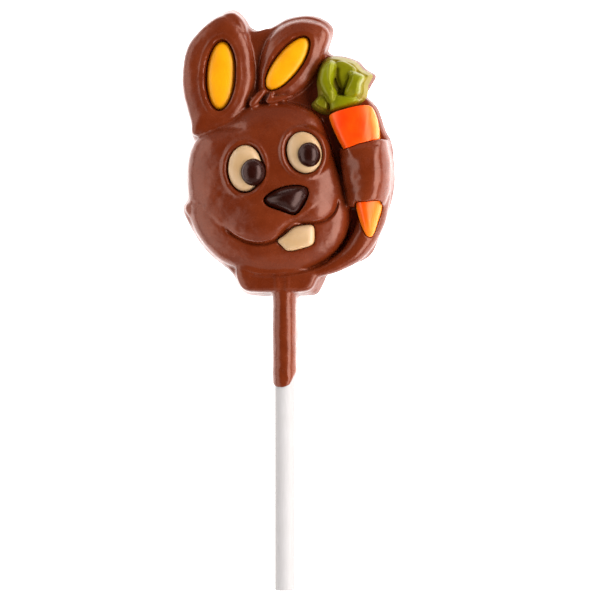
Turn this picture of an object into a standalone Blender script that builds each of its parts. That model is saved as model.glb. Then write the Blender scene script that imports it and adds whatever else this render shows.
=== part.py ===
"""Moulded chocolate lollipop: a rabbit's head with a carrot, flat on its back.

Lengths are millimetres in the drawing's own axes: X = 0 on the stick's axis,
Y = 0 at the middle of the head and up towards the ears, Z = 0 on the flat back.
The last step moves the drawing so that its box is centred over the origin.
"""
import math

import bmesh
import bpy
import numpy as np
from mathutils import Matrix, Vector
from mathutils.bvhtree import BVHTree

MM = 0.001

# Driving dimensions
STICK_RADIUS = 3.0
STICK_AXIS_Z = 3.3
STICK_END_Y = -111.9
STICK_TOP_Y = -19.0
SLEEVE_RADIUS = 3.4
SLEEVE_END_Y = -55.3
BORE_CLEARANCE = 0.12
PLATE_TOP = 2.4
PLATE_EDGE = 0.5
EAR_TOP = 7.2
FOLD_TOP = 5.4
HEAD_TOP = 11.0
CHEEK_TUFT_TOP = 6.0
MUZZLE_LEFT_TOP = 12.5
MUZZLE_RIGHT_TOP = 11.9
BROW_TOP = 10.7
NOSE_TOP = 14.2
PAW_TOP = 11.2
KNUCKLE_TOP = 11.5
ARM_TOP = 6.2
COLLAR_TOP = 6.1
CARROT_TOP = 10.2
CARROT_TIP_TOP = 9.2
LEAF_TOPS = (9.4, 7.8, 9.1)
LEAF_HOLLOW_FLOOR = 6.4
EAR_FLOOR = 4.2
EAR_FILL_TOP = 6.7
EYE_FLOOR = 7.0
EYE_LEFT_TOP = 11.9
EYE_RIGHT_TOP = 11.5
EYE_SWELL = 1.4
PUPIL_FLOOR = 10.2
PUPIL_RISE = 1.9
PUPIL_SINK = 0.3
NOSE_FLOOR = 8.2
NOSE_SWELL = 3.4
TOOTH_FLOOR = 6.8
TOOTH_FOOT = 8.9
TOOTH_TOP = 10.8
STRAND_RADIUS = 0.9
EYE_RIM_RADIUS = 0.75
MOUTH_RADIUS = 0.62
DRAFT = 0.28
WALL = 0.3
FIT = 0.35
GROOVE = 0.6
UNDER = -1.5
ABOVE = 22.0

# Outlines, each through the points that its shape needs
SILHOUETTE = [
    (-26.2, 14.3), (-27.0, 19), (-29.2, 26), (-29.7, 32), (-28.1, 41), (-23.4, 46.8), (-18.3, 50.2),
    (-14.6, 51.3), (-12.2, 49.6), (-10.6, 46.8), (-7.4, 45.3), (-3.9, 46.4), (0.6, 48.7), (6.2, 49.5),
    (11.2, 48.1), (13.6, 45.3), (12.4, 42), (11.6, 39.4), (13.4, 38.2), (16.4, 37.8), (20.6, 36.3),
    (22.6, 34.2), (25.5, 32.2), (24.2, 29.2), (22.9, 26.6), (24.4, 25.1), (26.3, 22.4), (27.3, 19.5),
    (28.4, 16.3), (29.9, 13.4), (30.8, 5), (30.2, -2), (27.6, -9.5), (25.2, -16.2), (22.7, -19.2),
    (17.4, -21.3), (12.6, -22.9), (10.6, -26.3), (8.8, -29.2), (4.4, -29.5), (-9.6, -29.5), (-12.6, -28.2),
    (-15.2, -23.4), (-19.8, -19.5), (-24.2, -15.0), (-28.0, -8.8), (-29.5, -5.0), (-28.2, -2.6), (-28.4, 5),
    (-27.4, 11)]
EAR_LEFT = [
    (-26.4, 15), (-27.1, 19), (-29.3, 27), (-29.7, 33), (-28.1, 41), (-23.6, 46.7), (-18.6, 50.0),
    (-15.4, 49.8), (-12.4, 46.4), (-9.9, 41), (-9.0, 33), (-9.9, 26.5), (-13, 20), (-19, 15.5)]
EAR_FOLD = [
    (-18.4, 50.1), (-14.6, 51.3), (-12.1, 49.6), (-10.2, 46.3), (-9.7, 42), (-13.5, 42), (-17, 46)]
EAR_RIGHT = [
    (-7.4, 25), (-8, 31), (-7.6, 37), (-5.6, 43.2), (-1.6, 47.4), (5, 49.4), (11.0, 48.1),
    (13.5, 45.3), (11.8, 40), (7.8, 33), (3, 27.6), (-3, 24)]
HEAD = [
    (-28.1, -1), (-28.4, 5), (-27.5, 11), (-24.6, 16.2), (-20, 18.9), (-15, 21), (-10.5, 24.2),
    (-4, 25.6), (2.5, 24.8), (7.8, 22.5), (11, 18.6), (13.0, 12.6), (15.0, 6.5), (17.4, -1),
    (18.6, -6), (18, -11.5), (14.8, -17.2), (9.2, -21.8), (1, -24.5), (-7, -24.7), (-14.2, -22.4),
    (-20.0, -19.3), (-24.4, -14.6), (-27.5, -8.4)]
CHEEK_TUFT = [
    (-29.5, -4.9), (-28.1, -2.7), (-23.5, -2.2), (-20.5, -5.5), (-22.5, -10), (-26, -10.2), (-28.1, -7.4)]
MUZZLE_LEFT = [
    (-17.6, -8.6), (-14.4, -11.9), (-10.4, -14.1), (-6.4, -14.8), (-3.4, -14.4), (-1.4, -13.4), (1.2, -10.9),
    (3.4, -8.8), (4.4, -4), (2.4, 2), (-5, 5), (-13, 4), (-18.6, -1)]
MUZZLE_RIGHT = [
    (3.4, -8.8), (7.2, -9.1), (11, -8.6), (14.0, -6.1), (15.2, -2.0), (13.6, 1.6), (9, 2.2), (4.6, 0.4),
    (2.6, -4)]
NOSE = [
    (-4.9, -2.7), (-1.8, -0.2), (3, 1.1), (6.9, 0.6), (7.7, -1.4), (6.4, -4.8), (4, -7.2), (0, -6.1),
    (-4, -4.5)]
TOOTH = [
    (-1.1, -14.2), (1.1, -12.4), (3.1, -10.7), (5.2, -10.1), (8.6, -10.1), (9.1, -12.6), (8.6, -15.1),
    (5.5, -16.4), (1.7, -17.0), (0, -15.7)]
PAW = [
    (16.2, 10.2), (19.4, 11.3), (23.5, 12.3), (28.4, 13.0), (30.3, 11.0), (30.8, 5), (30.4, 0),
    (28.8, -2.6), (24, -3.0), (19.2, -3.7), (17.4, -1), (16.2, 4), (15.4, 8.0)]
# The arm's middle line, each point with its half width
ARM = [
    (7.6, -22.0, 2.0), (10.6, -21.0, 2.1), (14.4, -19.6, 2.5), (18.6, -17.2, 3.2), (22.2, -13.2, 3.7),
    (24.6, -7.6, 4.0), (25.6, -1, 4.2)]
COLLAR = [
    (-14.2, -24.3), (-12.4, -28.2), (-9.6, -29.5), (0, -29.6), (7, -29.5), (9.4, -28.4), (11.4, -24.4),
    (13.6, -21.6), (8, -20), (0, -21), (-8, -21), (-13.6, -20.6)]
CARROT_UPPER = [
    (13.4, 19.9), (14.0, 20.9), (18, 22.1), (21.6, 22.9), (24.9, 23.1), (26.2, 21.3), (27.2, 17.6),
    (27.3, 14.4), (24.5, 13.3), (21.6, 12.6), (18.6, 11.5), (17.0, 11.3), (15.4, 14.6), (14.1, 17.6)]
CARROT_LOWER = [
    (20.4, -4.0), (24, -3.5), (27.9, -3.2), (28.3, -4.8), (26.7, -9.4), (25, -12.7), (23.5, -12.8),
    (22, -10.2), (20.9, -7)]
LEAF_LOBES = [
    [(9, 30), (9.7, 34.2), (11.6, 36.8), (14.2, 37.2), (15, 34.6), (14.6, 29), (15.2, 24), (12.6, 23),
     (10, 26)],
    [(7.7, 23.9), (9.4, 26.2), (12, 26.4), (13.6, 23.6), (12.2, 21.4), (9.2, 22.2)],
    [(13.6, 37.2), (20, 35.7), (22, 33.6), (24.5, 31.9), (23.4, 29.2), (23, 26.3), (21.2, 24.6), (18.4, 23.5),
     (14.8, 22.6), (12.6, 29)]]
LEAVES = [
    (7.4, 23.9), (9.2, 26.4), (8.9, 30), (9.6, 34.4), (11.6, 37.0), (14.8, 37.5), (20, 36.0), (22.2, 33.8),
    (24.9, 32.0), (23.7, 29.2), (23.4, 26.2), (21.6, 24.2), (18.6, 23.1), (15.2, 22.1), (12.0, 21.0),
    (9.0, 21.9)]
LEAF_HOLLOW = [
    (14.7, 33.2), (16.4, 35), (19.2, 34.4), (18.8, 31.6), (17.2, 27.8), (16.2, 27.2), (15.2, 29.8)]

# Ellipses: middle X, middle Y, half width, half height, lean clockwise in degrees
EAR_FILL_LEFT = (-17.7, 32.2, 4.05, 9.6, 3.0)
EAR_FILL_RIGHT = (1.1, 35.3, 3.5, 8.9, 38.5)
EYE_LEFT = (-10.2, 5.85, 4.75, 6.45, 0.0)
EYE_RIGHT = (6.3, 10.2, 4.75, 5.8, -16.0)
PUPIL_LEFT = (-7.8, 4.75, 3.45, 3.8, 0.0)
PUPIL_RIGHT = (7.8, 9.5, 3.2, 3.5, -8.0)

# Open lines that are pressed into the face, and strands of hair that stand on it
MOUTH = [
    (-16.8, -10.0), (-13.9, -12.6), (-10.2, -14.5), (-6.5, -15.2), (-3.4, -14.8), (-1.2, -13.7), (1.3, -11.0),
    (3.6, -9.1), (6.8, -9.5), (11.2, -8.9), (14.4, -6.3), (15.6, -2.4)]
STRANDS = [
    [(-9.2, 23.8), (-7, 26), (-4.4, 28.6)],
    [(-4.4, 24.6), (-3.4, 26.2), (-2.8, 27.9)],
    [(-3.4, 25), (-0.6, 25.7), (3.2, 26.3)]]
KNUCKLES = [(18, 8.4, 1.9), (20.3, 4.5, 2.0), (19.2, 0, 2.0)]


def linear(code):
    """The linear colour of an sRGB hex code."""
    values = [int(code[i:i + 2], 16) / 255 for i in (1, 3, 5)]
    return [v / 12.92 if v <= 0.04045 else ((v + 0.055) / 1.055) ** 2.4 for v in values] + [1.0]


def material(name, code, roughness):
    """A plain Principled finish."""
    finish = bpy.data.materials.new(name)
    finish.use_nodes = True
    shader = finish.node_tree.nodes["Principled BSDF"]
    shader.inputs["Base Color"].default_value = linear(code)
    shader.inputs["Roughness"].default_value = roughness
    shader.inputs["Metallic"].default_value = 0.0
    finish.diffuse_color = linear(code)
    return finish


def collection(name):
    """A new collection in the scene."""
    made = bpy.data.collections.new(name)
    bpy.context.scene.collection.children.link(made)
    return made


def smooth_outline(points, count):
    """A closed smooth curve through the points, as evenly spaced points, clockwise."""
    knots = np.array(points, float)
    pieces = []
    for i in range(len(knots)):
        a, b, c, d = (knots[(i + k) % len(knots)] for k in (-1, 0, 1, 2))
        t = np.linspace(0, 1, 16, endpoint=False)[:, None]
        along_b = (c - a) * np.linalg.norm(c - b) / (np.linalg.norm(c - b) + np.linalg.norm(b - a))
        along_c = (d - b) * np.linalg.norm(c - b) / (np.linalg.norm(d - c) + np.linalg.norm(c - b))
        pieces.append((2 * t**3 - 3 * t**2 + 1) * b + (t**3 - 2 * t**2 + t) * along_b
                      + (3 * t**2 - 2 * t**3) * c + (t**3 - t**2) * along_c)
    fine = np.vstack(pieces)
    steps = np.linalg.norm(np.roll(fine, -1, axis=0) - fine, axis=1)
    places = np.concatenate([[0], np.cumsum(steps)])
    wanted = np.linspace(0, places[-1], count, endpoint=False)
    looped = np.vstack([fine, fine[:1]])
    outline = np.stack([np.interp(wanted, places, looped[:, k]) for k in (0, 1)], axis=1)
    ahead = np.roll(outline, -1, axis=0)
    turned_left = np.sum(outline[:, 0] * ahead[:, 1] - ahead[:, 0] * outline[:, 1]) > 0
    return outline[::-1] if turned_left else outline


def ellipse(shape, count, grow=0.0):
    """The outline of an ellipse, clockwise, grown by a margin."""
    x, y, half_width, half_height, lean = shape
    angle = -np.linspace(0, 2 * math.pi, count, endpoint=False)
    u, v = (half_width + grow) * np.cos(angle), (half_height + grow) * np.sin(angle)
    c, s = math.cos(math.radians(lean)), math.sin(math.radians(lean))
    return np.stack([x + u * c + v * s, y - u * s + v * c], axis=1)


def offset(outline, distance):
    """The clockwise outline, moved outwards by a distance."""
    along = np.roll(outline, -1, axis=0) - np.roll(outline, 1, axis=0)
    along = along / np.linalg.norm(along, axis=1)[:, None]
    return outline + distance * np.stack([-along[:, 1], along[:, 0]], axis=1)


def add_object(name, mesh, group, finish=None):
    """An object of a bmesh, in a collection, shaded smooth up to its sharp edges."""
    data = bpy.data.meshes.new(name)
    mesh.to_mesh(data)
    mesh.free()
    made = bpy.data.objects.new(name, data)
    group.objects.link(made)
    if finish:
        data.materials.append(finish)
    data.shade_smooth()
    data.set_sharp_from_angle(angle=math.radians(40))
    return made


def loft(name, sections, group):
    """A closed skin over level sections, given from the lowest up as (outline, height).

    A section below the back goes deeper with each form, so that no two floors share a plane.
    """
    mesh = bmesh.new()
    if sections[0][1] == UNDER:
        sections[0] = (sections[0][0], UNDER - 0.15 * len(group.objects))
    rings = [[mesh.verts.new((x * MM, y * MM, height * MM)) for x, y in outline] for outline, height in sections]
    for lower, upper in zip(rings, rings[1:]):
        for i, corner in enumerate(lower):
            mesh.faces.new((corner, lower[i - 1], upper[i - 1], upper[i]))
    mesh.faces.new(rings[0])
    mesh.faces.new(rings[-1])
    bmesh.ops.recalc_face_normals(mesh, faces=mesh.faces)
    return add_object(name, mesh, group)


def pillow(name, outline, base, top, power, group, rings=6, floor=UNDER, middle=None):
    """A cushion: the outline up to its base, then swelling to its top, squarer with a higher power."""
    middle = np.array(middle) if middle is not None else outline.mean(axis=0)
    sections = [(outline, floor)]
    for step in range(rings):
        reach = math.cos(step / rings * math.pi / 2) ** (2 / power)
        height = base + (top - base) * (1 - reach**power) ** (1 / power)
        sections.append((middle + (outline - middle) * reach, height))
    sections.append((middle + (outline - middle) * 0.08, top))
    return loft(name, sections, group)


def slab(name, outline, top, edge, group, floor=UNDER):
    """A plate with drafted walls and a round upper edge of a given radius."""
    sections = [(outline, floor), (outline, 0.0)] if floor < 0 else [(outline, floor)]
    for turn in (0, 30, 60, 90):
        height = top - edge + edge * math.sin(math.radians(turn))
        inset = DRAFT * (top - edge) + edge * (1 - math.cos(math.radians(turn)))
        sections.append((offset(outline, -inset), height))
    return loft(name, sections, group)


def well(name, outline, floor, group):
    """A straight cutter that opens a pocket down to its floor."""
    return loft(name, [(outline, floor), (outline, ABOVE)], group)


def bead(name, path, radius, group, closed=False, sides=2, widths=None):
    """A round bead along a path, as a mesh with welded caps, of one radius or of a width at each point."""
    curve = bpy.data.curves.new(name, "CURVE")
    curve.dimensions = "3D"
    curve.bevel_depth = radius * MM
    curve.bevel_resolution = sides
    curve.use_fill_caps = True
    line = curve.splines.new("POLY")
    line.points.add(len(path) - 1)
    for point, place in zip(line.points, path):
        point.co = (place[0] * MM, place[1] * MM, place[2] * MM, 1)
    if widths is not None:
        line.points.foreach_set("radius", widths)
    line.use_cyclic_u = closed
    guide = bpy.data.objects.new(name + "_path", curve)
    group.objects.link(guide)
    bpy.context.view_layer.update()
    skin = bpy.data.meshes.new_from_object(guide.evaluated_get(bpy.context.evaluated_depsgraph_get()))
    mesh = bmesh.new()
    mesh.from_mesh(skin)
    bmesh.ops.remove_doubles(mesh, verts=mesh.verts, dist=0.000001)
    bmesh.ops.recalc_face_normals(mesh, faces=mesh.faces)
    bpy.data.objects.remove(guide)
    bpy.data.meshes.remove(skin)
    return add_object(name, mesh, group)


def rod(name, radius, start, end, group, sides, finish=None):
    """A round rod on the stick's axis, from one Y to another."""
    mesh = bmesh.new()
    bmesh.ops.create_cone(mesh, cap_ends=True, segments=sides, radius1=radius * MM, radius2=radius * MM,
                          depth=(end - start) * MM)
    bmesh.ops.rotate(mesh, verts=mesh.verts, matrix=Matrix.Rotation(math.pi / 2, 3, "X"))
    bmesh.ops.translate(mesh, verts=mesh.verts, vec=(0, (start + end) / 2 * MM, STICK_AXIS_Z * MM))
    return add_object(name, mesh, group, finish)


def block(name, low, high, group):
    """A plain box between two corners."""
    mesh = bmesh.new()
    bmesh.ops.create_cube(mesh, size=1)
    size = [(b - a) * MM for a, b in zip(low, high)]
    bmesh.ops.scale(mesh, verts=mesh.verts, vec=size)
    bmesh.ops.translate(mesh, verts=mesh.verts, vec=[(a + b) / 2 * MM for a, b in zip(low, high)])
    return add_object(name, mesh, group)


def boolean(target, operation, operand=None, group=None):
    """One Boolean, applied at once. The forms share walls, where the exact solver leaves gaps."""
    step = target.modifiers.new(operation.lower(), "BOOLEAN")
    step.operation = operation
    step.solver = "MANIFOLD"
    if group:
        step.operand_type = "COLLECTION"
        step.collection = group
    else:
        step.object = operand
    bpy.context.view_layer.update()
    result = bpy.data.meshes.new_from_object(target.evaluated_get(bpy.context.evaluated_depsgraph_get()))
    target.modifiers.clear()
    old = target.data
    target.data = result
    bpy.data.meshes.remove(old)


def drop(group):
    """Removes the objects of a collection."""
    for item in list(group.objects):
        bpy.data.objects.remove(item)


def smooth_line(points, spacing):
    """An open smooth curve through the points, with a point about every spacing."""
    knots = np.array(points, float)
    knots = np.vstack([2 * knots[0] - knots[1], knots, 2 * knots[-1] - knots[-2]])
    fine = []
    for a, b, c, d in zip(knots, knots[1:], knots[2:], knots[3:]):
        t = np.linspace(0, 1, 12, endpoint=False)[:, None]
        fine.append(0.5 * (2 * b + (c - a) * t + (2 * a - 5 * b + 4 * c - d) * t**2
                           + (3 * b - a - 3 * c + d) * t**3))
    fine = np.vstack(fine + [knots[-2:-1]])
    places = np.concatenate([[0], np.cumsum(np.linalg.norm(np.diff(fine, axis=0), axis=1))])
    count = max(3, round(places[-1] / spacing) + 1)
    wanted = np.linspace(0, places[-1], count)
    return np.stack([np.interp(wanted, places, column) for column in fine.T], axis=1)


def on_surface(body, line, lift):
    """The points of a line at the height of the body's upper face plus a lift, evened along the line."""
    bpy.context.view_layer.update()
    tree = BVHTree.FromObject(body, bpy.context.evaluated_depsgraph_get())
    heights = [tree.ray_cast(Vector((x * MM, y * MM, 1)), Vector((0, 0, -1)))[0].z / MM for x, y in line]
    padded = np.pad(heights, 2, mode="edge")
    evened = np.convolve(padded, (0.1, 0.2, 0.4, 0.2, 0.1), mode="valid")
    return [(x, y, height + lift) for (x, y), height in zip(line, evened)]


def chocolate_forms(group):
    """The swelling forms of the milk chocolate, which flow into one solid."""
    slab("plate", smooth_outline(SILHOUETTE, 150), PLATE_TOP, PLATE_EDGE, group)
    pillow("ear_left", smooth_outline(EAR_LEFT, 44), WALL, EAR_TOP, 2.9, group)
    pillow("ear_fold", smooth_outline(EAR_FOLD, 24), WALL, FOLD_TOP, 3.0, group, rings=4)
    pillow("ear_right", smooth_outline(EAR_RIGHT, 40), WALL, EAR_TOP, 2.9, group)
    pillow("head", smooth_outline(HEAD, 64), WALL, HEAD_TOP, 2.5, group, rings=9, middle=(-4, 0))
    pillow("cheek_tuft", smooth_outline(CHEEK_TUFT, 20), WALL, CHEEK_TUFT_TOP, 2.4, group, rings=4)
    pillow("muzzle_left", smooth_outline(MUZZLE_LEFT, 36), 4.0, MUZZLE_LEFT_TOP, 2.8, group, floor=0,
           middle=(-6, -6.6))
    pillow("muzzle_right", smooth_outline(MUZZLE_RIGHT, 30), 4.0, MUZZLE_RIGHT_TOP, 3.4, group, floor=0)
    pillow("brow_right", ellipse(EYE_RIGHT, 32, 2.1), 2.0, BROW_TOP, 4.0, group, floor=0)
    arm = smooth_line(ARM, 2.0)
    bead("arm", [(x, y, ARM_TOP - width) for x, y, width in arm], 1.0, group, sides=3, widths=arm[:, 2])
    pillow("paw", smooth_outline(PAW, 36), WALL, PAW_TOP, 3.0, group)
    pillow("collar", smooth_outline(COLLAR, 44), WALL, COLLAR_TOP, 5.0, group)
    rod("sleeve", SLEEVE_RADIUS, SLEEVE_END_Y, STICK_TOP_Y + 2.5, group, 28)


def chocolate_body(finish, model, forms, cutters):
    """The milk chocolate: forms joined, sawn flat behind, then hollowed for the inlays and lines."""
    chocolate_forms(forms)
    body = bpy.data.objects.new("chocolate_body", forms.objects["plate"].data.copy())
    model.objects.link(body)
    bpy.data.objects.remove(forms.objects["plate"])
    boolean(body, "UNION", group=forms)
    drop(forms)
    boolean(body, "DIFFERENCE", block("under", (-60, -140, -20), (60, 80, 0), cutters))
    for i, strand in enumerate(STRANDS):
        bead(f"strand_{i}", on_surface(body, smooth_line(strand, 1.0), -0.2), STRAND_RADIUS, forms)
    for i, (x, y, radius) in enumerate(KNUCKLES):
        pillow(f"knuckle_{i}", ellipse((x, y, radius, radius, 0), 16), 8.0, KNUCKLE_TOP, 2.2, forms,
               rings=3, floor=6)
    for name, eye in (("left", EYE_LEFT), ("right", EYE_RIGHT)):
        lid = ellipse(eye, 32, 1.4)
        bead(f"eye_rim_{name}", on_surface(body, lid, -0.35), EYE_RIM_RADIUS, forms, closed=True, sides=1)
    boolean(body, "UNION", group=forms)
    drop(forms)
    drop(cutters)
    bead("mouth", on_surface(body, smooth_line(MOUTH, 1.3), 0.15), MOUTH_RADIUS, cutters, sides=1)
    boolean(body, "DIFFERENCE", group=cutters)
    drop(cutters)
    for name, fill in (("left", EAR_FILL_LEFT), ("right", EAR_FILL_RIGHT)):
        basin = pillow(f"basin_{name}", ellipse(fill, 32, 1.9), -0.3, 2.3, 2.0, cutters, floor=-1.4)
        for vertex in basin.data.vertices:
            vertex.co.z = EAR_TOP * MM - vertex.co.z
        basin.data.flip_normals()
        well(f"ear_pocket_{name}", ellipse(fill, 32, FIT), EAR_FLOOR, cutters)
    for name, eye, pupil in (("left", EYE_LEFT, PUPIL_LEFT), ("right", EYE_RIGHT, PUPIL_RIGHT)):
        well(f"eye_pocket_{name}", ellipse(eye, 32, GROOVE), EYE_FLOOR, cutters)
        well(f"pupil_pocket_{name}", ellipse(pupil, 28, FIT), PUPIL_FLOOR, cutters)
    well("nose_pocket", smooth_outline(NOSE, 30), NOSE_FLOOR, cutters)
    well("tooth_pocket", offset(smooth_outline(TOOTH, 30), GROOVE), TOOTH_FLOOR, cutters)
    well("carrot_pocket", offset(smooth_outline(CARROT_UPPER, 36), FIT), PLATE_TOP, cutters)
    well("tip_pocket", offset(smooth_outline(CARROT_LOWER, 28), FIT), PLATE_TOP, cutters)
    well("leaf_pocket", offset(smooth_outline(LEAVES, 44), FIT), PLATE_TOP, cutters)
    rod("bore", STICK_RADIUS + BORE_CLEARANCE, SLEEVE_END_Y - 5, STICK_TOP_Y + 0.4, cutters, 28)
    boolean(body, "DIFFERENCE", group=cutters)
    drop(cutters)
    body.data.materials.clear()
    body.data.materials.append(finish)
    return body


def inlay(name, outline, base, top, floor, finish, model, power=2.8, rings=4):
    """A coloured chocolate cushion that stands in its pocket, just clear of the floor."""
    made = pillow(name, outline, base, top, power, model, rings=rings, floor=floor + FIT)
    made.data.materials.append(finish)
    return made


def eyes(cream, dark, model, cutters):
    """Cream eyes, each with a dark pupil let into it that stands out as a high dome."""
    for side, eye, pupil, top in (("left", EYE_LEFT, PUPIL_LEFT, EYE_LEFT_TOP),
                                  ("right", EYE_RIGHT, PUPIL_RIGHT, EYE_RIGHT_TOP)):
        white = inlay(f"eye_white_{side}", ellipse(eye, 32), top - EYE_SWELL, top, EYE_FLOOR, cream, model)
        well("pupil_pocket", ellipse(pupil, 28, FIT), PUPIL_FLOOR, cutters)
        boolean(white, "DIFFERENCE", group=cutters)
        drop(cutters)
        inlay(f"pupil_{side}", ellipse(pupil, 28), top - PUPIL_SINK, top + PUPIL_RISE, PUPIL_FLOOR, dark, model,
              power=2.0, rings=6)


def leaves(finish, model, cutters):
    """The carrot's leaves, with a deep hollow between the lobes."""
    floor = PLATE_TOP + FIT
    made = slab("carrot_leaves", smooth_outline(LEAVES, 44), floor + 1.4, 0.4, model, floor=floor)
    for i, (lobe, top) in enumerate(zip(LEAF_LOBES, LEAF_TOPS)):
        pillow(f"lobe_{i}", smooth_outline(lobe, 26), floor + 1.0, top, 3.0, cutters, rings=4,
               floor=floor + 0.3)
    boolean(made, "UNION", group=cutters)
    drop(cutters)
    well("hollow", smooth_outline(LEAF_HOLLOW, 18), LEAF_HOLLOW_FLOOR, cutters)
    boolean(made, "DIFFERENCE", group=cutters)
    drop(cutters)
    made.data.materials.clear()
    made.data.materials.append(finish)


def centre_over_origin(model):
    """Hangs every piece on an empty that stands so that the whole box is centred over the origin."""
    corners = np.array([corner for item in model.objects for corner in item.bound_box])
    low, high = corners.min(axis=0), corners.max(axis=0)
    anchor = bpy.data.objects.new("lollipop_anchor", None)
    bpy.context.scene.collection.objects.link(anchor)
    anchor.location = (-(low[0] + high[0]) / 2, -(low[1] + high[1]) / 2, 0)
    for item in model.objects:
        item.parent = anchor


def main():
    for item in list(bpy.data.objects):
        bpy.data.objects.remove(item)
    model = collection("chocolate_lollipop")
    forms = collection("forms")
    cutters = collection("cutters")
    milk = material("milk_chocolate", "#6f2d14", 0.28)
    dark = material("dark_chocolate", "#2a0e08", 0.25)
    cream = material("cream_chocolate", "#d6b58e", 0.35)
    yellow = material("yellow_chocolate", "#f7ac06", 0.35)
    orange = material("orange_chocolate", "#f25a10", 0.32)
    green = material("green_chocolate", "#7d7d0c", 0.35)
    paper = material("rolled_paper", "#ece9e6", 0.7)
    chocolate_body(milk, model, forms, cutters)
    for side, fill in (("left", EAR_FILL_LEFT), ("right", EAR_FILL_RIGHT)):
        inlay(f"ear_fill_{side}", ellipse(fill, 32), EAR_FLOOR + 2 * WALL, EAR_FILL_TOP, EAR_FLOOR, yellow, model)
    eyes(cream, dark, model, cutters)
    nose = offset(smooth_outline(NOSE, 30), -FIT)
    inlay("nose", nose, NOSE_TOP - NOSE_SWELL, NOSE_TOP, NOSE_FLOOR, dark, model, power=2.2, rings=5)
    inlay("tooth", smooth_outline(TOOTH, 30), TOOTH_FOOT, TOOTH_TOP, TOOTH_FLOOR, cream, model)
    carrot = smooth_outline(CARROT_UPPER, 36)
    inlay("carrot_top", carrot, PLATE_TOP + 2 * WALL, CARROT_TOP, PLATE_TOP, orange, model)
    tip = smooth_outline(CARROT_LOWER, 28)
    inlay("carrot_tip", tip, PLATE_TOP + 2 * WALL, CARROT_TIP_TOP, PLATE_TOP, orange, model)
    leaves(green, model, cutters)
    rod("stick", STICK_RADIUS, STICK_END_Y, STICK_TOP_Y, model, 28, paper)
    centre_over_origin(model)


main()
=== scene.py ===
"""A moulded chocolate lollipop, a rabbit's head with a carrot, lying on its flat back.

Lengths are millimetres in the drawing's own axes: X = 0 on the stick's axis, Y = 0 at the
middle of the head, Z = 0 on the table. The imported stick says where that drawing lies.
"""
import math

import bpy
import numpy as np
from mathutils import Matrix, Vector


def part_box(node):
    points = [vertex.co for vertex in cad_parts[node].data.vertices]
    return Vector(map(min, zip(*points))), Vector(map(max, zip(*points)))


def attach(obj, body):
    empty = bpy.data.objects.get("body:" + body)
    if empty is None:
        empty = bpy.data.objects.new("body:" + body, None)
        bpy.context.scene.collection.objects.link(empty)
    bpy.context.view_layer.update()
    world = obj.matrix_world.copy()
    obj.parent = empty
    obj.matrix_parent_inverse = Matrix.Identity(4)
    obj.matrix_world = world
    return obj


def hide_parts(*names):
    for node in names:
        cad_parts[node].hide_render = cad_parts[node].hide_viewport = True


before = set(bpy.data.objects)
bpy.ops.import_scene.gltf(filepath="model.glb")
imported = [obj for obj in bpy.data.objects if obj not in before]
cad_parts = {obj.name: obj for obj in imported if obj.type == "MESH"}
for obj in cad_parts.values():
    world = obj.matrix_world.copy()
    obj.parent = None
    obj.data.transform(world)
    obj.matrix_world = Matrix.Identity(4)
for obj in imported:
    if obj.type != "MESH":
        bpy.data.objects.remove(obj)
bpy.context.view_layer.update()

MM = 0.001

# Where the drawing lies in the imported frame, read off the stick
STICK_END_Y = -111.9
STICK_TOP_Y = -19.0
STICK_LOW, STICK_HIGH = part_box("stick")
SHIFT = Vector(((STICK_LOW.x + STICK_HIGH.x) / 2, STICK_LOW.y - STICK_END_Y * MM, 0))

# The stick, rolled from one strip of paper: the bare core, the gap between turns and its eased ends
STICK_RADIUS = 3.0
STICK_AXIS_Z = 3.3
STICK_TURNS = 5
STICK_CORE = 0.5
STICK_SEAM = math.radians(-100)
TURN_GAP = 0.03
STICK_EASE = 0.12

# The sleeve of chocolate round it: places along it with the size there, and its chips, each by a place
# on the break and the direction that the break faces
SLEEVE_RADIUS = 3.35
SLEEVE_SPREAD = 0.1
SLEEVE_START_Y = -16.5
SLEEVE_STEPS = [(-27, 1.0), (-33, 0.985), (-40, 1.0), (-47, 0.99), (-51, 1.005), (-54.5, 0.99), (-55.1, 0.94),
                (-55.6, 0.8)]
CHIPS = [((3.3, -50.9), (0.92, -0.39)), ((1.7, -54.4), (0.5, -0.866)), ((-2.6, -54.8), (-0.5, -0.866))]
BORE_RADIUS = 3.1
BORE_SPARE = 0.3
BORE_PAST = 2

# The walls: how far they lean in for each millimetre of height, and how high they stand
DRAFT = 0.36
FOOT = 3.6
PLATE_TOP = 2.4

# Tops of the forms
EAR_TOP = 7.2
HEAD_TOP = 11.0
NOSE_TOP = 14.1
PAW_TOP = 11.2
ARM_TOP = 6.2
COLLAR_TOP = 7.1
CARROT_TOP = 10.2
LEAF_TOP = 9.4
EYE_LEFT_TOP = 11.9
EYE_RIGHT_TOP = 11.5
TOOTH_TOP = 10.8
PUPIL_RISE = 1.9

# Floors of the pockets, the levels at which set-in pieces meet the skin, the groove round them, their fit
EAR_FLOOR = 4.2
EYE_FLOOR = 7.0
NOSE_FLOOR = 8.2
TOOTH_FLOOR = 6.8
LEAF_FLOOR = 2.45
EYE_EDGE = 9.7
TOOTH_EDGE = 9.3
GROOVE = 0.5
FIT = 0.12
CLEAR_FLOOR = 0.35

# How forms are made: how far they reach below the table and cutters above the lollipop, a dome's last
# ring as a share of its foot, the grain of each melted skin, how near a saw's plane counts as on it, and
# how soon the mould's lines reach full depth where the skin turns up
UNDER = -2.0
ABOVE = 22.0
CROWN = 0.04
VOXEL = 0.28
SKIN_VOXEL = 0.31
LEAF_VOXEL = 0.2
CARROT_VOXEL = 0.18
KERF = 0.001
TURNED_UP = 2.5

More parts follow.
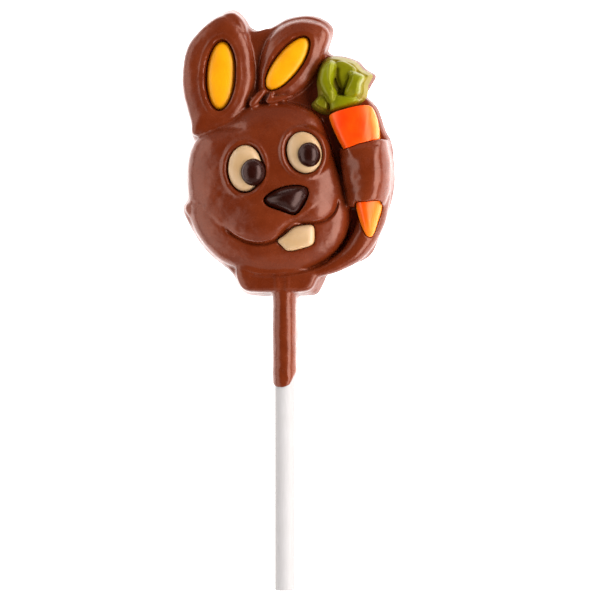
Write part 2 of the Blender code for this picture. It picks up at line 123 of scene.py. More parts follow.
# Finishes: the length of flow marks, smudges, powder and paper fibres, their relief, and how deep light
# soaks in
FLOW = 7.0
SMUDGE = 2.6
POWDER = 0.45
FIBRE = 0.3
SMUDGE_RELIEF = 0.06
POWDER_RELIEF = 0.012
FIBRE_RELIEF = 0.02
GLOW = 1.2

# The cast that each chocolate gives to what it mirrors
COCOA_TINT = (1.0, 0.62, 0.5)
DARK_TINT = (0.6, 0.4, 0.36)
BUTTER_TINT = (1.0, 0.9, 0.8)
LEAF_TINT = (1.0, 0.9, 0.25)
AMBER_TINT = (1.0, 0.75, 0.4)

# Each chocolate: colour of its face, of its streaks and of its low edges, the two levels between which
# the low colour gives way to the face's, roughness, cast, and the share of light that soaks in. The low
# colour is painted light. It is a darker painted shade at the low edges of the dark, cream, yellow and
# green pieces and in the leaves' hollows. It is a painted sheen that makes the carrot's low flanks lighter
# and yellower, and a faint painted lightening at the foot of the milk chocolate's walls.
CHOCOLATES = {
    "tempered_milk_chocolate": ("#5e2008", "#6a2910", "#62230c", (1.0, 4.0), 0.25, COCOA_TINT, 0.0),
    "dark_chocolate": ("#1f0703", "#260a06", "#1a0502", (9.0, 12.0), 0.25, DARK_TINT, 0.0),
    "cream_chocolate": ("#bf9e79", "#b49065", "#b08250", (8.8, 10.1), 0.36, BUTTER_TINT, 0.1),
    "yellow_chocolate": ("#e69a02", "#dc8c00", "#d28600", (4.8, 5.8), 0.38, AMBER_TINT, 0.1),
    "orange_chocolate": ("#ea3400", "#e84a02", "#fc7c10", (6.0, 9.6), 0.34, AMBER_TINT, 0.1),
    "green_chocolate": ("#787802", "#626102", "#766616", (4.6, 8.0), 0.34, LEAF_TINT, 0.05)}

# Soft boxes round the table, in metres: azimuth, lean from straight above, height, width and radiance
BOX_AWAY = 0.6
BOXES = {"right": (0, 54, 0.344, 1.1, 8.2), "left": (180, 62, 0.40, 1.1, 3.1),
         "near": (-90, 60, 0.36, 1.0, 0.9), "far": (90, 60, 0.36, 1.0, 0.4)}
LIT_PLACE = (0, 5, 0)
ROOM_GLOW = 0.04

# The table: its side in metres, its gap below the flat back, and the light that it gives off itself
TABLE_SIDE = 8
TABLE_GAP = 0.2
TABLE_GLOW = 2.2

# The camera: the place it looks at, how far off and how far over to the right it is, and the size that
# one of the picture's points has there
LOOK_AT = (4.35, -30.7, 3)
CAMERA_AWAY = 650
CAMERA_TILT = math.radians(7)
PICTURE_POINTS = 600
POINT_SIZE = 0.28
FILM_WIDTH = 36

# Unevenness that the thin plastic mould leaves
WAVE_LENGTH = 5.0
WAVE_HEIGHT = 0.35

# Outlines, each through the points that its shape needs
SILHOUETTE = [
    (-26.2, 14.3), (-27.0, 19), (-29.2, 26), (-29.7, 32), (-28.1, 41), (-23.4, 46.8), (-18.3, 50.2),
    (-14.6, 51.3), (-12.2, 49.6), (-10.6, 46.8), (-7.4, 45.3), (-3.9, 46.4), (0.6, 48.7), (6.2, 49.5),
    (11.2, 48.1), (13.6, 45.3), (12.4, 42), (11.6, 39.4), (13.4, 38.2), (16.4, 37.8), (20.6, 36.3),
    (22.6, 34.2), (25.5, 32.2), (24.2, 29.2), (22.9, 26.6), (24.4, 25.1), (26.3, 22.4), (27.3, 19.5),
    (28.4, 16.3), (29.9, 13.4), (30.8, 5), (30.2, -2), (27.6, -9.5), (25.2, -16.2), (22.7, -19.2),
    (17.4, -21.3), (12.6, -22.9), (10.6, -26.3), (8.8, -29.2), (4.4, -29.5), (-9.6, -29.5), (-12.6, -28.2),
    (-15.2, -23.4), (-19.8, -19.5), (-24.2, -15.0), (-28.0, -8.8), (-29.5, -5.0), (-28.2, -2.6), (-28.4, 5),
    (-27.4, 11)]
EAR_LEFT = [
    (-26.4, 15), (-27.1, 19), (-29.3, 27), (-29.7, 33), (-28.1, 41), (-23.6, 46.7), (-18.6, 50.0),
    (-15.4, 49.8), (-12.2, 46.4), (-9.4, 41), (-8.4, 33), (-9.4, 26.5), (-13, 20), (-19, 15.5)]
EAR_FOLD = [
    (-18.4, 50.1), (-14.6, 51.3), (-12.1, 49.6), (-10.2, 46.3), (-9.7, 42), (-13.5, 42), (-17, 46)]
EAR_RIGHT = [
    (-7.4, 25), (-8, 31), (-7.6, 37), (-5.6, 43.2), (-1.6, 47.4), (5, 49.4), (11.0, 48.1),
    (13.5, 45.3), (12.3, 40), (10.0, 34.2), (6.4, 29.2), (1.6, 25.8), (-3, 24)]
EAR_WEB = [
    (-12, 44.5), (-8, 45.0), (-4, 45.6), (-3, 42), (-5, 34), (-5.6, 26), (-9, 22), (-12, 26), (-11.4, 35)]
HEAD = [
    (-28.1, -1), (-28.4, 5), (-27.5, 11), (-24.6, 16.2), (-20, 18.9), (-15, 21), (-10.5, 24.2),
    (-4, 25.6), (2.5, 24.8), (7.8, 22.5), (11, 18.6), (13.0, 12.6), (15.0, 6.5), (17.4, -1),
    (18.6, -6), (18, -11.5), (14.8, -17.2), (9.2, -21.8), (1, -24.5), (-7, -24.7), (-14.2, -22.4),
    (-20.0, -19.3), (-24.4, -14.6), (-27.5, -8.4)]
CHEEK_TUFT = [
    (-29.5, -4.9), (-28.1, -2.7), (-23.5, -2.2), (-20.5, -5.5), (-22.5, -10), (-26, -10.2), (-28.1, -7.4)]
NOSE = [
    (-4.9, -2.7), (-1.8, -0.2), (3, 1.1), (6.9, 0.6), (7.7, -1.4), (6.4, -4.8), (4, -7.2), (0, -6.1),
    (-4, -4.5)]
TOOTH = [
    (-1.1, -14.2), (1.1, -12.4), (3.1, -10.7), (5.2, -10.1), (8.6, -10.1), (9.1, -12.6), (8.6, -15.1),
    (5.5, -16.4), (1.7, -17.0), (0, -15.7)]

# The paw as it shows, and the longer hump that it is cut from
PAW = [
    (14.8, 10.6), (17.8, 11.8), (23.5, 12.9), (28.8, 13.9), (31.0, 12.8), (31.6, 5), (31.2, -2),
    (29.6, -4.2), (24, -4.5), (19.4, -4.9), (17.2, -4), (15.6, 4), (14.8, 8.0)]
PAW_HUMP = [
    (13.8, 20), (15.3, 12), (16.0, 6), (17.2, -1), (18.2, -8), (19.4, -15), (22, -18), (24.6, -15),
    (27.9, -8), (30.3, 0), (30.7, 5), (29.9, 12), (28.4, 19), (22, 24)]

# The collar below the chin
COLLAR = [
    (-14.2, -24.3), (-12.4, -28.2), (-9.6, -29.5), (0, -29.6), (7, -29.5), (9.4, -28.4), (11.4, -24.4),
    (11.6, -23.2), (7, -22.6), (0, -22.4), (-8, -21.8), (-13.6, -20.6)]

# The two parts of the carrot that show, and the whole carrot that they are cut from
CARROT_UPPER = [
    (12.9, 19.9), (13.6, 20.9), (17.6, 22.2), (21.2, 23.0), (24.4, 23.1), (25.6, 21.3), (26.6, 17.6),
    (26.8, 14.2), (24.3, 13.2), (21.4, 12.5), (18.4, 11.4), (16.8, 11.2), (15.0, 14.6), (13.6, 17.6)]
CARROT_LOWER = [
    (20.3, -4.0), (23.6, -3.5), (27.1, -3.3), (27.6, -4.8), (26.3, -9.4), (24.9, -12.9), (23.5, -13.0),
    (21.9, -10.2), (20.8, -7)]
WHOLE_CARROT = [
    (11.9, 25), (12.8, 19.9), (14.9, 14.6), (16.7, 11.2), (18.3, 5), (19.6, -1), (20.2, -4.0),
    (20.8, -7), (21.8, -10.2), (23.4, -13.6), (24.3, -14.1), (25.2, -13.4), (26.5, -9.4), (27.7, -4.8),
    (28.0, 0), (27.7, 7), (26.9, 14.2), (26.7, 17.6), (26.0, 21.6), (25.0, 26), (21.6, 31), (17.6, 32),
    (13.6, 29.5)]

# The leaves' common base, and the leaves on it
LEAVES = [
    (7.4, 23.9), (9.2, 26.4), (8.9, 30), (9.6, 34.4), (11.6, 37.0), (14.8, 37.5), (20, 36.0), (22.2, 33.8),
    (24.9, 32.0), (23.7, 29.2), (23.4, 26.2), (21.6, 24.2), (18.6, 23.1), (15.2, 22.1), (12.0, 21.0),
    (9.0, 21.9)]
LEAF_LEFT = [
    (9.2, 30), (9.8, 34.2), (11.6, 36.8), (13.6, 37.4), (14.9, 36.2), (14.6, 32.6), (14.2, 29.4),
    (15.4, 26.8), (14.6, 23.6), (12.8, 23), (10.6, 26.6)]
LEAF_LOW = [(7.6, 23.9), (9.3, 26.2), (11.4, 26.4), (12.8, 24), (12.2, 21.3), (9.2, 22.1)]
LEAF_RIGHT = [
    (19.1, 34.0), (21.4, 33.6), (24.1, 32.0), (23.1, 29.3), (22.7, 26.5), (20.8, 24.9), (17.4, 26.0),
    (18.2, 29.6), (19.0, 31.9)]
LEAF_BACK = [
    (14.4, 36.5), (16.6, 37.3), (19.8, 35.9), (21.3, 34.3), (20.3, 31.6), (18.4, 28.6), (16.4, 28),
    (15.0, 30.5), (14.4, 33.4)]
LEAF_FRONT = [
    (12.4, 25.4), (14, 27.6), (16.8, 27.4), (20.4, 27.0), (22.6, 25.8), (21.4, 24.3), (18.4, 23.25),
    (14.8, 22.35), (12.8, 22.2)]

# The arm's middle line, each point with its half width
ARM = [
    (6.0, -23.6, 1.2), (9.4, -22.9, 1.5), (12.0, -22.0, 1.9), (15.4, -20.4, 2.3), (19.2, -17.6, 3.0),
    (22.4, -13.2, 3.6), (24.6, -7.6, 4.0), (25.6, -1, 4.2)]

# Ellipses: middle X, middle Y, half width, half height, lean clockwise in degrees
EAR_FILL_LEFT = (-17.7, 32.2, 4.05, 9.6, 3.0)
EAR_FILL_RIGHT = (1.1, 35.3, 3.5, 8.9, 38.5)
NOTCH = (-7.3, 46.9, 1.6, 1.6, 0.0)
EYE_LEFT = (-10.2, 5.85, 4.75, 6.45, 0.0)
EYE_RIGHT = (6.3, 10.2, 4.75, 5.8, -16.0)
PUPIL_LEFT = (-7.8, 4.75, 3.45, 3.8, 0.0)
PUPIL_RIGHT = (7.8, 9.5, 3.2, 3.5, -8.0)

# Lines of the face
MOUTH_LEFT = [(-16.8, -10.0), (-13.9, -12.6), (-10.2, -14.5), (-6.5, -15.2), (-3.4, -14.8), (-1.2, -13.7),
              (1.3, -11.0), (3.5, -9.2)]
MOUTH_RIGHT = [(3.5, -9.2), (6.8, -9.5), (11.2, -8.9), (14.4, -6.3), (15.6, -2.4)]
JAW = [(-13.3, -21.5), (-8.9, -23.4), (-4.5, -23.8), (0.3, -23.5), (4.2, -22.9), (7.8, -21.7), (11.6, -20.0),
       (14.8, -17.2), (17.0, -13.6), (18.0, -10.2), (18.5, -4)]

# Soft creases that the mould presses: places, depth and width
CREASES = [
    ([(-18, -0.8), (-14, -1.6), (-10, -1.0)], 0.30, 0.7),
    ([(-20, 17.8), (-15, 17.2), (-10, 17.6)], 0.25, 0.8),
    ([(-26.5, -3.2), (-24, -3.9), (-21.5, -4.7)], 0.45, 0.6),
    ([(17, 7.4), (20, 6.2), (21.4, 2)], 0.25, 1.2),
    ([(17.2, 2.2), (19, 1.2), (20.8, -1.2)], 0.2, 1.2),
    ([(18.4, 11.3), (23, 12.2), (28, 12.4)], 0.35, 0.5),
    ([(-0.8, -49.8), (0.2, -51.8), (0.6, -53.6)], 0.20, 0.45)]

# Sharper lines, pressed once the pockets are cut: places, depth (negative stands proud), width and,
# where it isn't the usual one, the share of its length over which it fades in and out
SHARP_LINES = [
    (MOUTH_LEFT, 1.2, 0.40),
    (MOUTH_RIGHT, 1.05, 0.38),
    (JAW, 0.55, 0.5),
    (JAW[4:], 0.9, 0.5, 0.4),
    ([(-1.9, -23.4), (-1.6, -26.0), (-1.8, -28.6)], -0.24, 0.7),
    ([(1.0, -23.4), (1.3, -25.6), (1.1, -28.4)], -0.24, 0.7)]

# Lines between the leaves: places, depth (negative stands proud) and width
LEAF_CREASES = [
    ([(15.1, 34.4), (15.2, 31), (16.6, 27.4)], 0.7, 0.5),
    ([(19.6, 33), (18.9, 30.8), (17.2, 27.6)], 0.7, 0.5),
    ([(11.6, 26.6), (12.8, 24.4), (12.6, 21.6)], 0.8, 0.45),
    ([(13.4, 27.6), (17.4, 26.4), (20.6, 27.0)], 0.3, 0.6),
    ([(13.6, 36), (13.3, 31.5), (14.0, 28.4), (15.0, 26.4)], -0.35, 0.5)]

# Cheeks that swell over the mouth's line: the line, height, how fast they rise, their middle and reach
CHEEKS = [
    (MOUTH_LEFT, 2.0, 0.55, (-4.5, -9), (9.5, 7.5)),
    (MOUTH_RIGHT, 1.8, 0.5, (9, -4.5), (5.5, 5.0))]

# Lips round the set-in pieces: how far outside the piece, height and width
LIPS = [
    (EYE_LEFT, 1.4, 0.4, 0.55), (EYE_RIGHT, 1.4, 0.55, 0.55),
    (EAR_FILL_LEFT, 1.6, 0.2, 0.45), (EAR_FILL_RIGHT, 1.6, 0.15, 0.45)]

# Bumps on the paw
KNUCKLES = [(18.0, 8.4), (20.3, 4.5), (18.2, 2.2), (20.5, -1.3), (22.6, 7.5)]
KNUCKLE_HEIGHT = 0.3
KNUCKLE_WIDTH = 1.6

# Tufts of hair, from root to tip: places, height of the middle line and widest half width
TUFTS = [([(-9.2, 23.4), (-7.0, 26.0), (-4.4, 28.6)], 6.3, 1.15),
         ([(-4.4, 24.2), (-3.4, 26.0), (-2.8, 27.9)], 7.0, 0.8),
         ([(-3.8, 24.6), (-0.6, 25.6), (3.2, 26.3)], 6.6, 1.0)]


def spot(x, y, z):
    """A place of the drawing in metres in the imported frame."""
    return Vector((x, y, z)) * MM + SHIFT


def outline(points, count):
    """A closed smooth curve through the points, as evenly spaced points, clockwise."""
    knots = np.array(points, float)
    pieces = []
    for i in range(len(knots)):
        a, b, c, d = (knots[(i + k) % len(knots)] for k in (-1, 0, 1, 2))
        before, here, after = (np.linalg.norm(q - p) for p, q in ((a, b), (b, c), (c, d)))
        leaving, arriving = (c - a) * here / (here + before), (d - b) * here / (after + here)
        t = np.linspace(0, 1, 24, endpoint=False)[:, None]
        pieces.append((2 * t**3 - 3 * t**2 + 1) * b + (t**3 - 2 * t**2 + t) * leaving
                      + (3 * t**2 - 2 * t**3) * c + (t**3 - t**2) * arriving)
    fine = np.vstack(pieces)
    places = np.concatenate([[0], np.cumsum(np.linalg.norm(np.roll(fine, -1, axis=0) - fine, axis=1))])
    wanted = np.linspace(0, places[-1], count, endpoint=False)
    looped = np.vstack([fine, fine[:1]])
    ring = np.stack([np.interp(wanted, places, column) for column in looped.T], axis=1)
    ahead = np.roll(ring, -1, axis=0)
    turned_left = np.sum(ring[:, 0] * ahead[:, 1] - ahead[:, 0] * ring[:, 1]) > 0
    return ring[::-1] if turned_left else ring


def line(points, count=40):
    """An open smooth curve through the points."""
    knots = np.array(points, float)
    knots = np.vstack([2 * knots[0] - knots[1], knots, 2 * knots[-1] - knots[-2]])
    fine = []
    for a, b, c, d in zip(knots, knots[1:], knots[2:], knots[3:]):
        t = np.linspace(0, 1, 16, endpoint=False)[:, None]
        fine.append(0.5 * (2 * b + (c - a) * t + (2 * a - 5 * b + 4 * c - d) * t**2
                           + (3 * b - a - 3 * c + d) * t**3))
    fine = np.vstack(fine + [knots[-2:-1]])
    places = np.concatenate([[0], np.cumsum(np.linalg.norm(np.diff(fine, axis=0), axis=1))])
    wanted = np.linspace(0, places[-1], count)
    return np.stack([np.interp(wanted, places, column) for column in fine.T], axis=1)


def ellipse(shape, count, grow=0.0):
    """The outline of an ellipse, clockwise, grown by a margin."""
    x, y, half_width, half_height, lean = shape
    angle = -np.linspace(0, 2 * math.pi, count, endpoint=False)
    u, v = (half_width + grow) * np.cos(angle), (half_height + grow) * np.sin(angle)
    c, s = math.cos(math.radians(lean)), math.sin(math.radians(lean))
    return np.stack([x + u * c + v * s, y - u * s + v * c], axis=1)


def offset(ring, distance):
    """The clockwise ring, moved outwards by a distance."""
    along = np.roll(ring, -1, axis=0) - np.roll(ring, 1, axis=0)
    along = along / np.linalg.norm(along, axis=1)[:, None]
    return ring + distance * np.stack([-along[:, 1], along[:, 0]], axis=1)


def start(name, ring, height):
    """A filled circle whose rim is drawn onto the ring, open for editing and selected."""
    bpy.ops.object.select_all(action="DESELECT")
    bpy.ops.mesh.primitive_circle_add(vertices=len(ring), radius=MM, fill_type="NGON")
    piece = bpy.context.object
    piece.name = name
    for vertex, (x, y) in zip(piece.data.vertices, ring[::-1]):
        vertex.co = spot(x, y, height)
    bpy.ops.object.mode_set(mode="EDIT")
    bpy.ops.mesh.select_all(action="SELECT")
    return piece


def raise_ring(rise, factor=1.0, middle=(0, 0)):
    """Extrudes the selected face upwards and draws it in towards the middle."""
    bpy.ops.mesh.extrude_region_move(TRANSFORM_OT_translate={"value": (0, 0, rise * MM)})
    bpy.ops.transform.resize(value=(factor, factor, 1), center_override=spot(*middle, 0))


def close_up():
    """Turns all faces outwards and leaves edit mode."""
    bpy.ops.mesh.select_all(action="SELECT")
    bpy.ops.mesh.normals_make_consistent(inside=False)
    bpy.ops.object.mode_set(mode="OBJECT")


def dome(name, ring, base, top, power, rings=18, floor=UNDER, middle=None, lean=None, draft=DRAFT):
    """A cushion raised ring by ring, its foot drafted on the side away from the point it leans to."""
    middle = tuple(middle) if middle is not None else tuple(ring.mean(axis=0))
    piece = start(name, ring, floor)
    foot = max(floor, 0)
    if floor < foot:
        raise_ring(foot - floor)
    if lean:
        furthest = np.linalg.norm(ring - lean, axis=1).max()
        raise_ring(base - foot, 1 - draft * (base - foot) / furthest, lean)
    else:
        raise_ring(base - foot)
    reach, height = 1.0, base
    for step in range(1, rings):
        next_reach = math.cos(step / rings * math.pi / 2) ** (2 / power)
        next_height = base + (top - base) * (1 - next_reach**power) ** (1 / power)
        raise_ring(next_height - height, next_reach / reach, middle)
        reach, height = next_reach, next_height
    raise_ring(top - height, CROWN / reach, middle)
    close_up()
    return piece


def prism(name, ring, low, high=ABOVE, draft=0.0):
    """A column over a ring, whose walls lean inwards by a draft where it comes out of a mould."""
    piece = start(name, ring, low)
    bpy.ops.mesh.extrude_region_move(TRANSFORM_OT_translate={"value": (0, 0, 0)})
    bpy.ops.mesh.inset(thickness=draft * (high - low) * MM, depth=(high - low) * MM, use_boundary=False)
    close_up()
    return piece


def bead(name, path, radius):
    """A round bead along a path of places with a width each."""
    curve = bpy.data.curves.new(name, "CURVE")
    curve.dimensions = "3D"
    curve.bevel_depth = radius * MM
    curve.bevel_resolution = 8
    curve.use_fill_caps = True
    thread = curve.splines.new("POLY")
    thread.points.add(len(path) - 1)
    for point, (x, y, z, width) in zip(thread.points, path):
        point.co = (*spot(x, y, z), 1)
        point.radius = width
    piece = bpy.data.objects.new(name, curve)
    bpy.context.scene.collection.objects.link(piece)
    choose(piece)
    bpy.ops.object.convert(target="MESH")
    bpy.ops.object.mode_set(mode="EDIT")
    bpy.ops.mesh.select_all(action="SELECT")
    bpy.ops.mesh.remove_doubles(threshold=0.000001)
    close_up()
    return bpy.context.object


def choose(piece, *others):
    """Selects only these objects, the first one active."""
    bpy.ops.object.select_all(action="DESELECT")
    for item in (*others, piece):
        item.select_set(True)
    bpy.context.view_layer.objects.active = piece


def finish_with(piece, kind, **settings):
    """Adds one modifier with its settings and applies it."""
    choose(piece)
    step = piece.modifiers.new(kind.lower(), kind)
    for key, value in settings.items():
        setattr(step, key, value)
    bpy.ops.object.modifier_apply(modifier=step.name)


def joined(pieces):
    """Joins several pieces into the first one."""
    choose(*pieces)
    if len(pieces) > 1:
        bpy.ops.object.join()
    return pieces[0]


def melt(pieces, passes, voxel):
    """Joins forms into one skin and softens it, as chocolate takes a mould with rounded corners."""
    skin = joined(pieces)
    finish_with(skin, "REMESH", mode="VOXEL", voxel_size=voxel * MM)
    finish_with(skin, "SMOOTH", factor=0.5, iterations=passes)
    return skin


def carve(piece, cutters):
    """Cuts joined cutters out of a piece."""
    cutter = joined(cutters)
    finish_with(piece, "BOOLEAN", operation="DIFFERENCE", solver="MANIFOLD", object=cutter)
    bpy.data.objects.remove(cutter)


def keep_within(piece, points):
    """Keeps only what lies within an upright column, like a cutter pressed straight down."""
    column = prism("column", outline(points, 140), UNDER - 1)
    finish_with(piece, "BOOLEAN", operation="INTERSECT", solver="MANIFOLD", object=column)
    bpy.data.objects.remove(column)
    return piece


def saw(piece, height=0.0):
    """Saws a piece flat at a height and closes the cut."""
    choose(piece)
    bpy.ops.object.mode_set(mode="EDIT")
    bpy.ops.mesh.select_all(action="SELECT")
    bpy.ops.mesh.bisect(plane_co=spot(0, 0, height), plane_no=(0, 0, 1), use_fill=True, clear_inner=True,
                        threshold=KERF * MM)
    close_up()


def read_skin(piece):
    """The vertices in the drawing's millimetres, and how far each faces up."""
    count = len(piece.data.vertices)
    skin, facing = np.empty(count * 3), np.empty(count * 3)
    piece.data.vertices.foreach_get("co", skin)
    piece.data.vertices.foreach_get("normal", facing)
    skin = (skin.reshape(-1, 3) - np.array(SHIFT)) / MM
    return skin, np.clip(facing.reshape(-1, 3)[:, 2] * TURNED_UP, 0, 1)


def write_skin(piece, skin):
    """Puts the vertices back."""
    piece.data.vertices.foreach_set("co", (skin * MM + np.array(SHIFT)).ravel())
    piece.data.update()


def off_line(skin, path):
    """How far each vertex lies from a path in the plane, and how far along it, from 0 to 1."""
    best, along = np.full(len(skin), 1e9), np.zeros(len(skin))
    for i, (a, b) in enumerate(zip(path, path[1:])):
        run = b - a
        t = np.clip(((skin[:, :2] - a) @ run) / (run @ run), 0, 1)
        away = np.linalg.norm(skin[:, :2] - a - t[:, None] * run, axis=1)
        near = away < best
        best[near] = away[near]
        along[near] = ((i + t) / (len(path) - 1))[near]
    return best, along


def press(skin, up, points, depth, width, taper=0.15):
    """Presses a soft groove along a line, or raises a ridge where the depth is negative."""
    away, along = off_line(skin, line(points))
    fade = np.clip(np.minimum(along, 1 - along) / taper, 0, 1)
    fade = fade * fade * (3 - 2 * fade)
    skin[:, 2] -= up * depth * fade * np.exp(-((away / width) ** 2))


def swell(skin, up, points, height, edge, middle, reach):
    """Raises the skin on the left of a line, steeply at the line and fading out round a middle."""
    path = line(points)
    away, along = off_line(skin, path)
    nearest = np.clip((along * (len(path) - 1)).astype(int), 0, len(path) - 2)
    run, to = path[nearest + 1] - path[nearest], skin[:, :2] - path[nearest]
    inside = run[:, 0] * to[:, 1] - run[:, 1] * to[:, 0] > 0
    off = np.sum(((skin[:, :2] - middle) / reach) ** 2, axis=1)
    skin[:, 2] += up * inside * height * (1 - np.exp(-away / edge)) * np.exp(-off)


def lip(skin, up, shape, away, height, width):
    """Raises a round lip round an ellipse, a distance outside it."""
    ring = ellipse(shape, 90, away)
    off, _ = off_line(skin, np.vstack([ring, ring[:1]]))
    skin[:, 2] += up * height * np.exp(-((off / width) ** 2))


def smooth(piece, angle=40):
    """Shades a piece smooth up to its sharp edges."""
    choose(piece)
    bpy.ops.object.shade_smooth_by_angle(angle=math.radians(angle))


def dress(piece, finish, node_name):
    """Gives a piece its finish, and says what it rides on and which plain solid it stands for."""
    piece.data.materials.clear()
    piece.data.materials.append(finish)
    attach(piece, "root")
    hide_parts(node_name)
    return piece


def sleeve():
    """The chocolate that the mould's channel leaves round the stick, chipped at its end."""
    turn = np.linspace(0, math.pi, 33)
    arch = [(SLEEVE_RADIUS * math.cos(t), STICK_AXIS_Z + SLEEVE_RADIUS * math.sin(t)) for t in turn]
    section = [(SLEEVE_RADIUS + SLEEVE_SPREAD, UNDER), *arch, (-SLEEVE_RADIUS - SLEEVE_SPREAD, UNDER)]
    piece = start("sleeve", [(0, 0)] * len(section), 0)
    bpy.ops.object.mode_set(mode="OBJECT")
    for vertex, (x, z) in zip(piece.data.vertices, section):
        vertex.co = spot(x, SLEEVE_START_Y, z)
    bpy.ops.object.mode_set(mode="EDIT")
    here, size = SLEEVE_START_Y, 1.0
    for there, next_size in SLEEVE_STEPS:
        bpy.ops.mesh.extrude_region_move(TRANSFORM_OT_translate={"value": (0, (there - here) * MM, 0)})
        shrink = next_size / size
        bpy.ops.transform.resize(value=(shrink, 1, shrink), center_override=spot(0, there, STICK_AXIS_Z))
        here, size = there, next_size
    for (x, y), (across, along) in CHIPS:
        bpy.ops.mesh.select_all(action="SELECT")
        bpy.ops.mesh.bisect(plane_co=spot(x, y, STICK_AXIS_Z), plane_no=(across, along, 0), use_fill=True,
                            clear_outer=True, threshold=KERF * MM)
    close_up()
    return piece


def tuft(path, height, width):
    """A tuft of hair, a bead that swells from its root and runs out in a point."""
    way = line(path, 16)
    swelling = np.sin(np.linspace(0.25, 0.97, 16) * math.pi) * 0.85 + 0.15
    return bead("tuft", [(x, y, height, width * size) for (x, y), size in zip(way, swelling)], 1.0)


def face_forms():
    """The swelling forms of the milk chocolate."""
    plate = outline(SILHOUETTE, 500)
    arm = line(ARM, 40)
    return [
        prism("milk_chocolate_figure", plate, 0, PLATE_TOP, DRAFT),
        prism("plate_foot", plate, UNDER, 0.05),
        dome("ear_left", outline(EAR_LEFT, 160), FOOT, EAR_TOP, 3.0, middle=(-15, 32), lean=(-10, 28),
             draft=0.3),
        dome("ear_fold", outline(EAR_FOLD, 90), FOOT, EAR_TOP - 1.8, 2.4, lean=(-14, 43)),
        dome("ear_web", outline(EAR_WEB, 90), PLATE_TOP - 0.5, 3.7, 3.0),
        dome("ear_right", outline(EAR_RIGHT, 160), FOOT - 0.2, EAR_TOP, 2.3, middle=(0, 36.5), lean=(4, 29),
             draft=0.55),
        dome("head", outline(HEAD, 220), FOOT, HEAD_TOP, 2.1, rings=32, middle=(-4, 0), lean=(12, 4),
             draft=0.3),
        dome("cheek_tuft", outline(CHEEK_TUFT, 80), FOOT, 5.6, 2.4, lean=(-21, -5)),
        dome("brow_right", ellipse(EYE_RIGHT, 120, 2.3), FOOT, 10.7, 3.0),
        bead("arm", [(x, y, ARM_TOP - width, width) for x, y, width in arm], 1.0),
        keep_within(dome("paw", outline(PAW_HUMP, 180), FOOT, PAW_TOP, 2.05, middle=(24.4, 3), lean=(17, 6),
                         draft=0.3), PAW),
        dome("collar", outline(COLLAR, 160), FOOT + 1.0, COLLAR_TOP, 3.0, lean=(-6, -18)),
        *[tuft(*one) for one in TUFTS],
        sleeve()]


def milk_chocolate_figure(finish):
    """The milk chocolate: forms melted together, pressed with the mould's lines, then pocketed."""
    figure = melt(face_forms(), 8, VOXEL)
    waves = bpy.data.textures.new("mould_waves", "CLOUDS")
    waves.noise_scale = WAVE_LENGTH * MM
    finish_with(figure, "DISPLACE", texture=waves, texture_coords="LOCAL", direction="NORMAL",
                strength=WAVE_HEIGHT * MM, mid_level=0.5)
    skin, up = read_skin(figure)
    for cheek in CHEEKS:
        swell(skin, up, *cheek)
    for crease in CREASES:
        press(skin, up, *crease)
    for x, y in KNUCKLES:
        away = (skin[:, 0] - x) ** 2 + (skin[:, 1] - y) ** 2
        skin[:, 2] += up * KNUCKLE_HEIGHT * np.exp(-away / KNUCKLE_WIDTH**2)
    for edge in LIPS:
        lip(skin, up, *edge)
    write_skin(figure, skin)
    for round_of_cutters in pocket_cutters():
        carve(figure, round_of_cutters)
    melt([figure], 2, SKIN_VOXEL)
    skin, up = read_skin(figure)
    for mark in SHARP_LINES:
        press(skin, up, *mark)
    write_skin(figure, skin)
    finish_with(figure, "SMOOTH", factor=0.5, iterations=1)
    saw(figure)
    carve(figure, [bore()])
    smooth(figure)
    return dress(figure, finish, "chocolate_body")


def pocket_cutters():
    """The cutters, in rounds that hold only cutters clear of each other: sloping sockets, then pockets."""
    ears, eyes = (EAR_FILL_LEFT, EAR_FILL_RIGHT), (EYE_LEFT, EYE_RIGHT)
    nose, tooth, leaves = (outline(points, 90) for points in (NOSE, TOOTH, LEAVES))
    upper, lower = outline(CARROT_UPPER, 110), outline(CARROT_LOWER, 90)
    sockets = [prism("ear_basin", ellipse(fill, 96, GROOVE), EAR_TOP - 2.4, EAR_TOP + 0.6, -0.42)
               for fill in ears]
    sockets += [prism("eye_socket", ellipse(eye, 96, GROOVE), EYE_EDGE - 0.5, EYE_EDGE + 2.5, -0.5)
                for eye in eyes]
    sockets.append(prism("tooth_socket", offset(tooth, GROOVE - 0.1), TOOTH_EDGE - 0.3, TOOTH_EDGE + 2.5,
                         -0.45))
    sockets.append(prism("notch", ellipse(NOTCH, 60), 0, PLATE_TOP + 1, -0.8))
    pockets = [prism("ear_pocket", ellipse(fill, 96, FIT), EAR_FLOOR) for fill in ears]
    pockets += [prism("eye_pocket", ellipse(eye, 96, FIT), EYE_FLOOR) for eye in eyes]
    pockets.append(prism("nose_pocket", nose, NOSE_FLOOR))
    pockets.append(prism("tooth_pocket", offset(tooth, FIT), TOOTH_FLOOR))
    pockets.append(prism("carrot_pocket", offset(upper, FIT), PLATE_TOP))
    pockets.append(prism("tip_pocket", offset(lower, FIT), PLATE_TOP))
    pupils = [prism("pupil_pocket", ellipse(pupil, 96, FIT), EYE_EDGE) for pupil in (PUPIL_LEFT, PUPIL_RIGHT)]
    pupils.append(prism("leaf_pocket", offset(leaves, FIT), PLATE_TOP))
    return sockets, pockets, pupils


def bore():
    """The round hole that the stick leaves in the chocolate."""
    bpy.ops.object.select_all(action="DESELECT")
    length = STICK_TOP_Y - SLEEVE_STEPS[-1][0] + BORE_PAST
    middle = spot(0, (STICK_TOP_Y + BORE_SPARE) - length / 2, STICK_AXIS_Z)
    bpy.ops.mesh.primitive_cylinder_add(vertices=96, radius=BORE_RADIUS * MM, depth=length * MM,
                                        location=middle, rotation=(math.pi / 2, 0, 0))
    return bpy.context.object


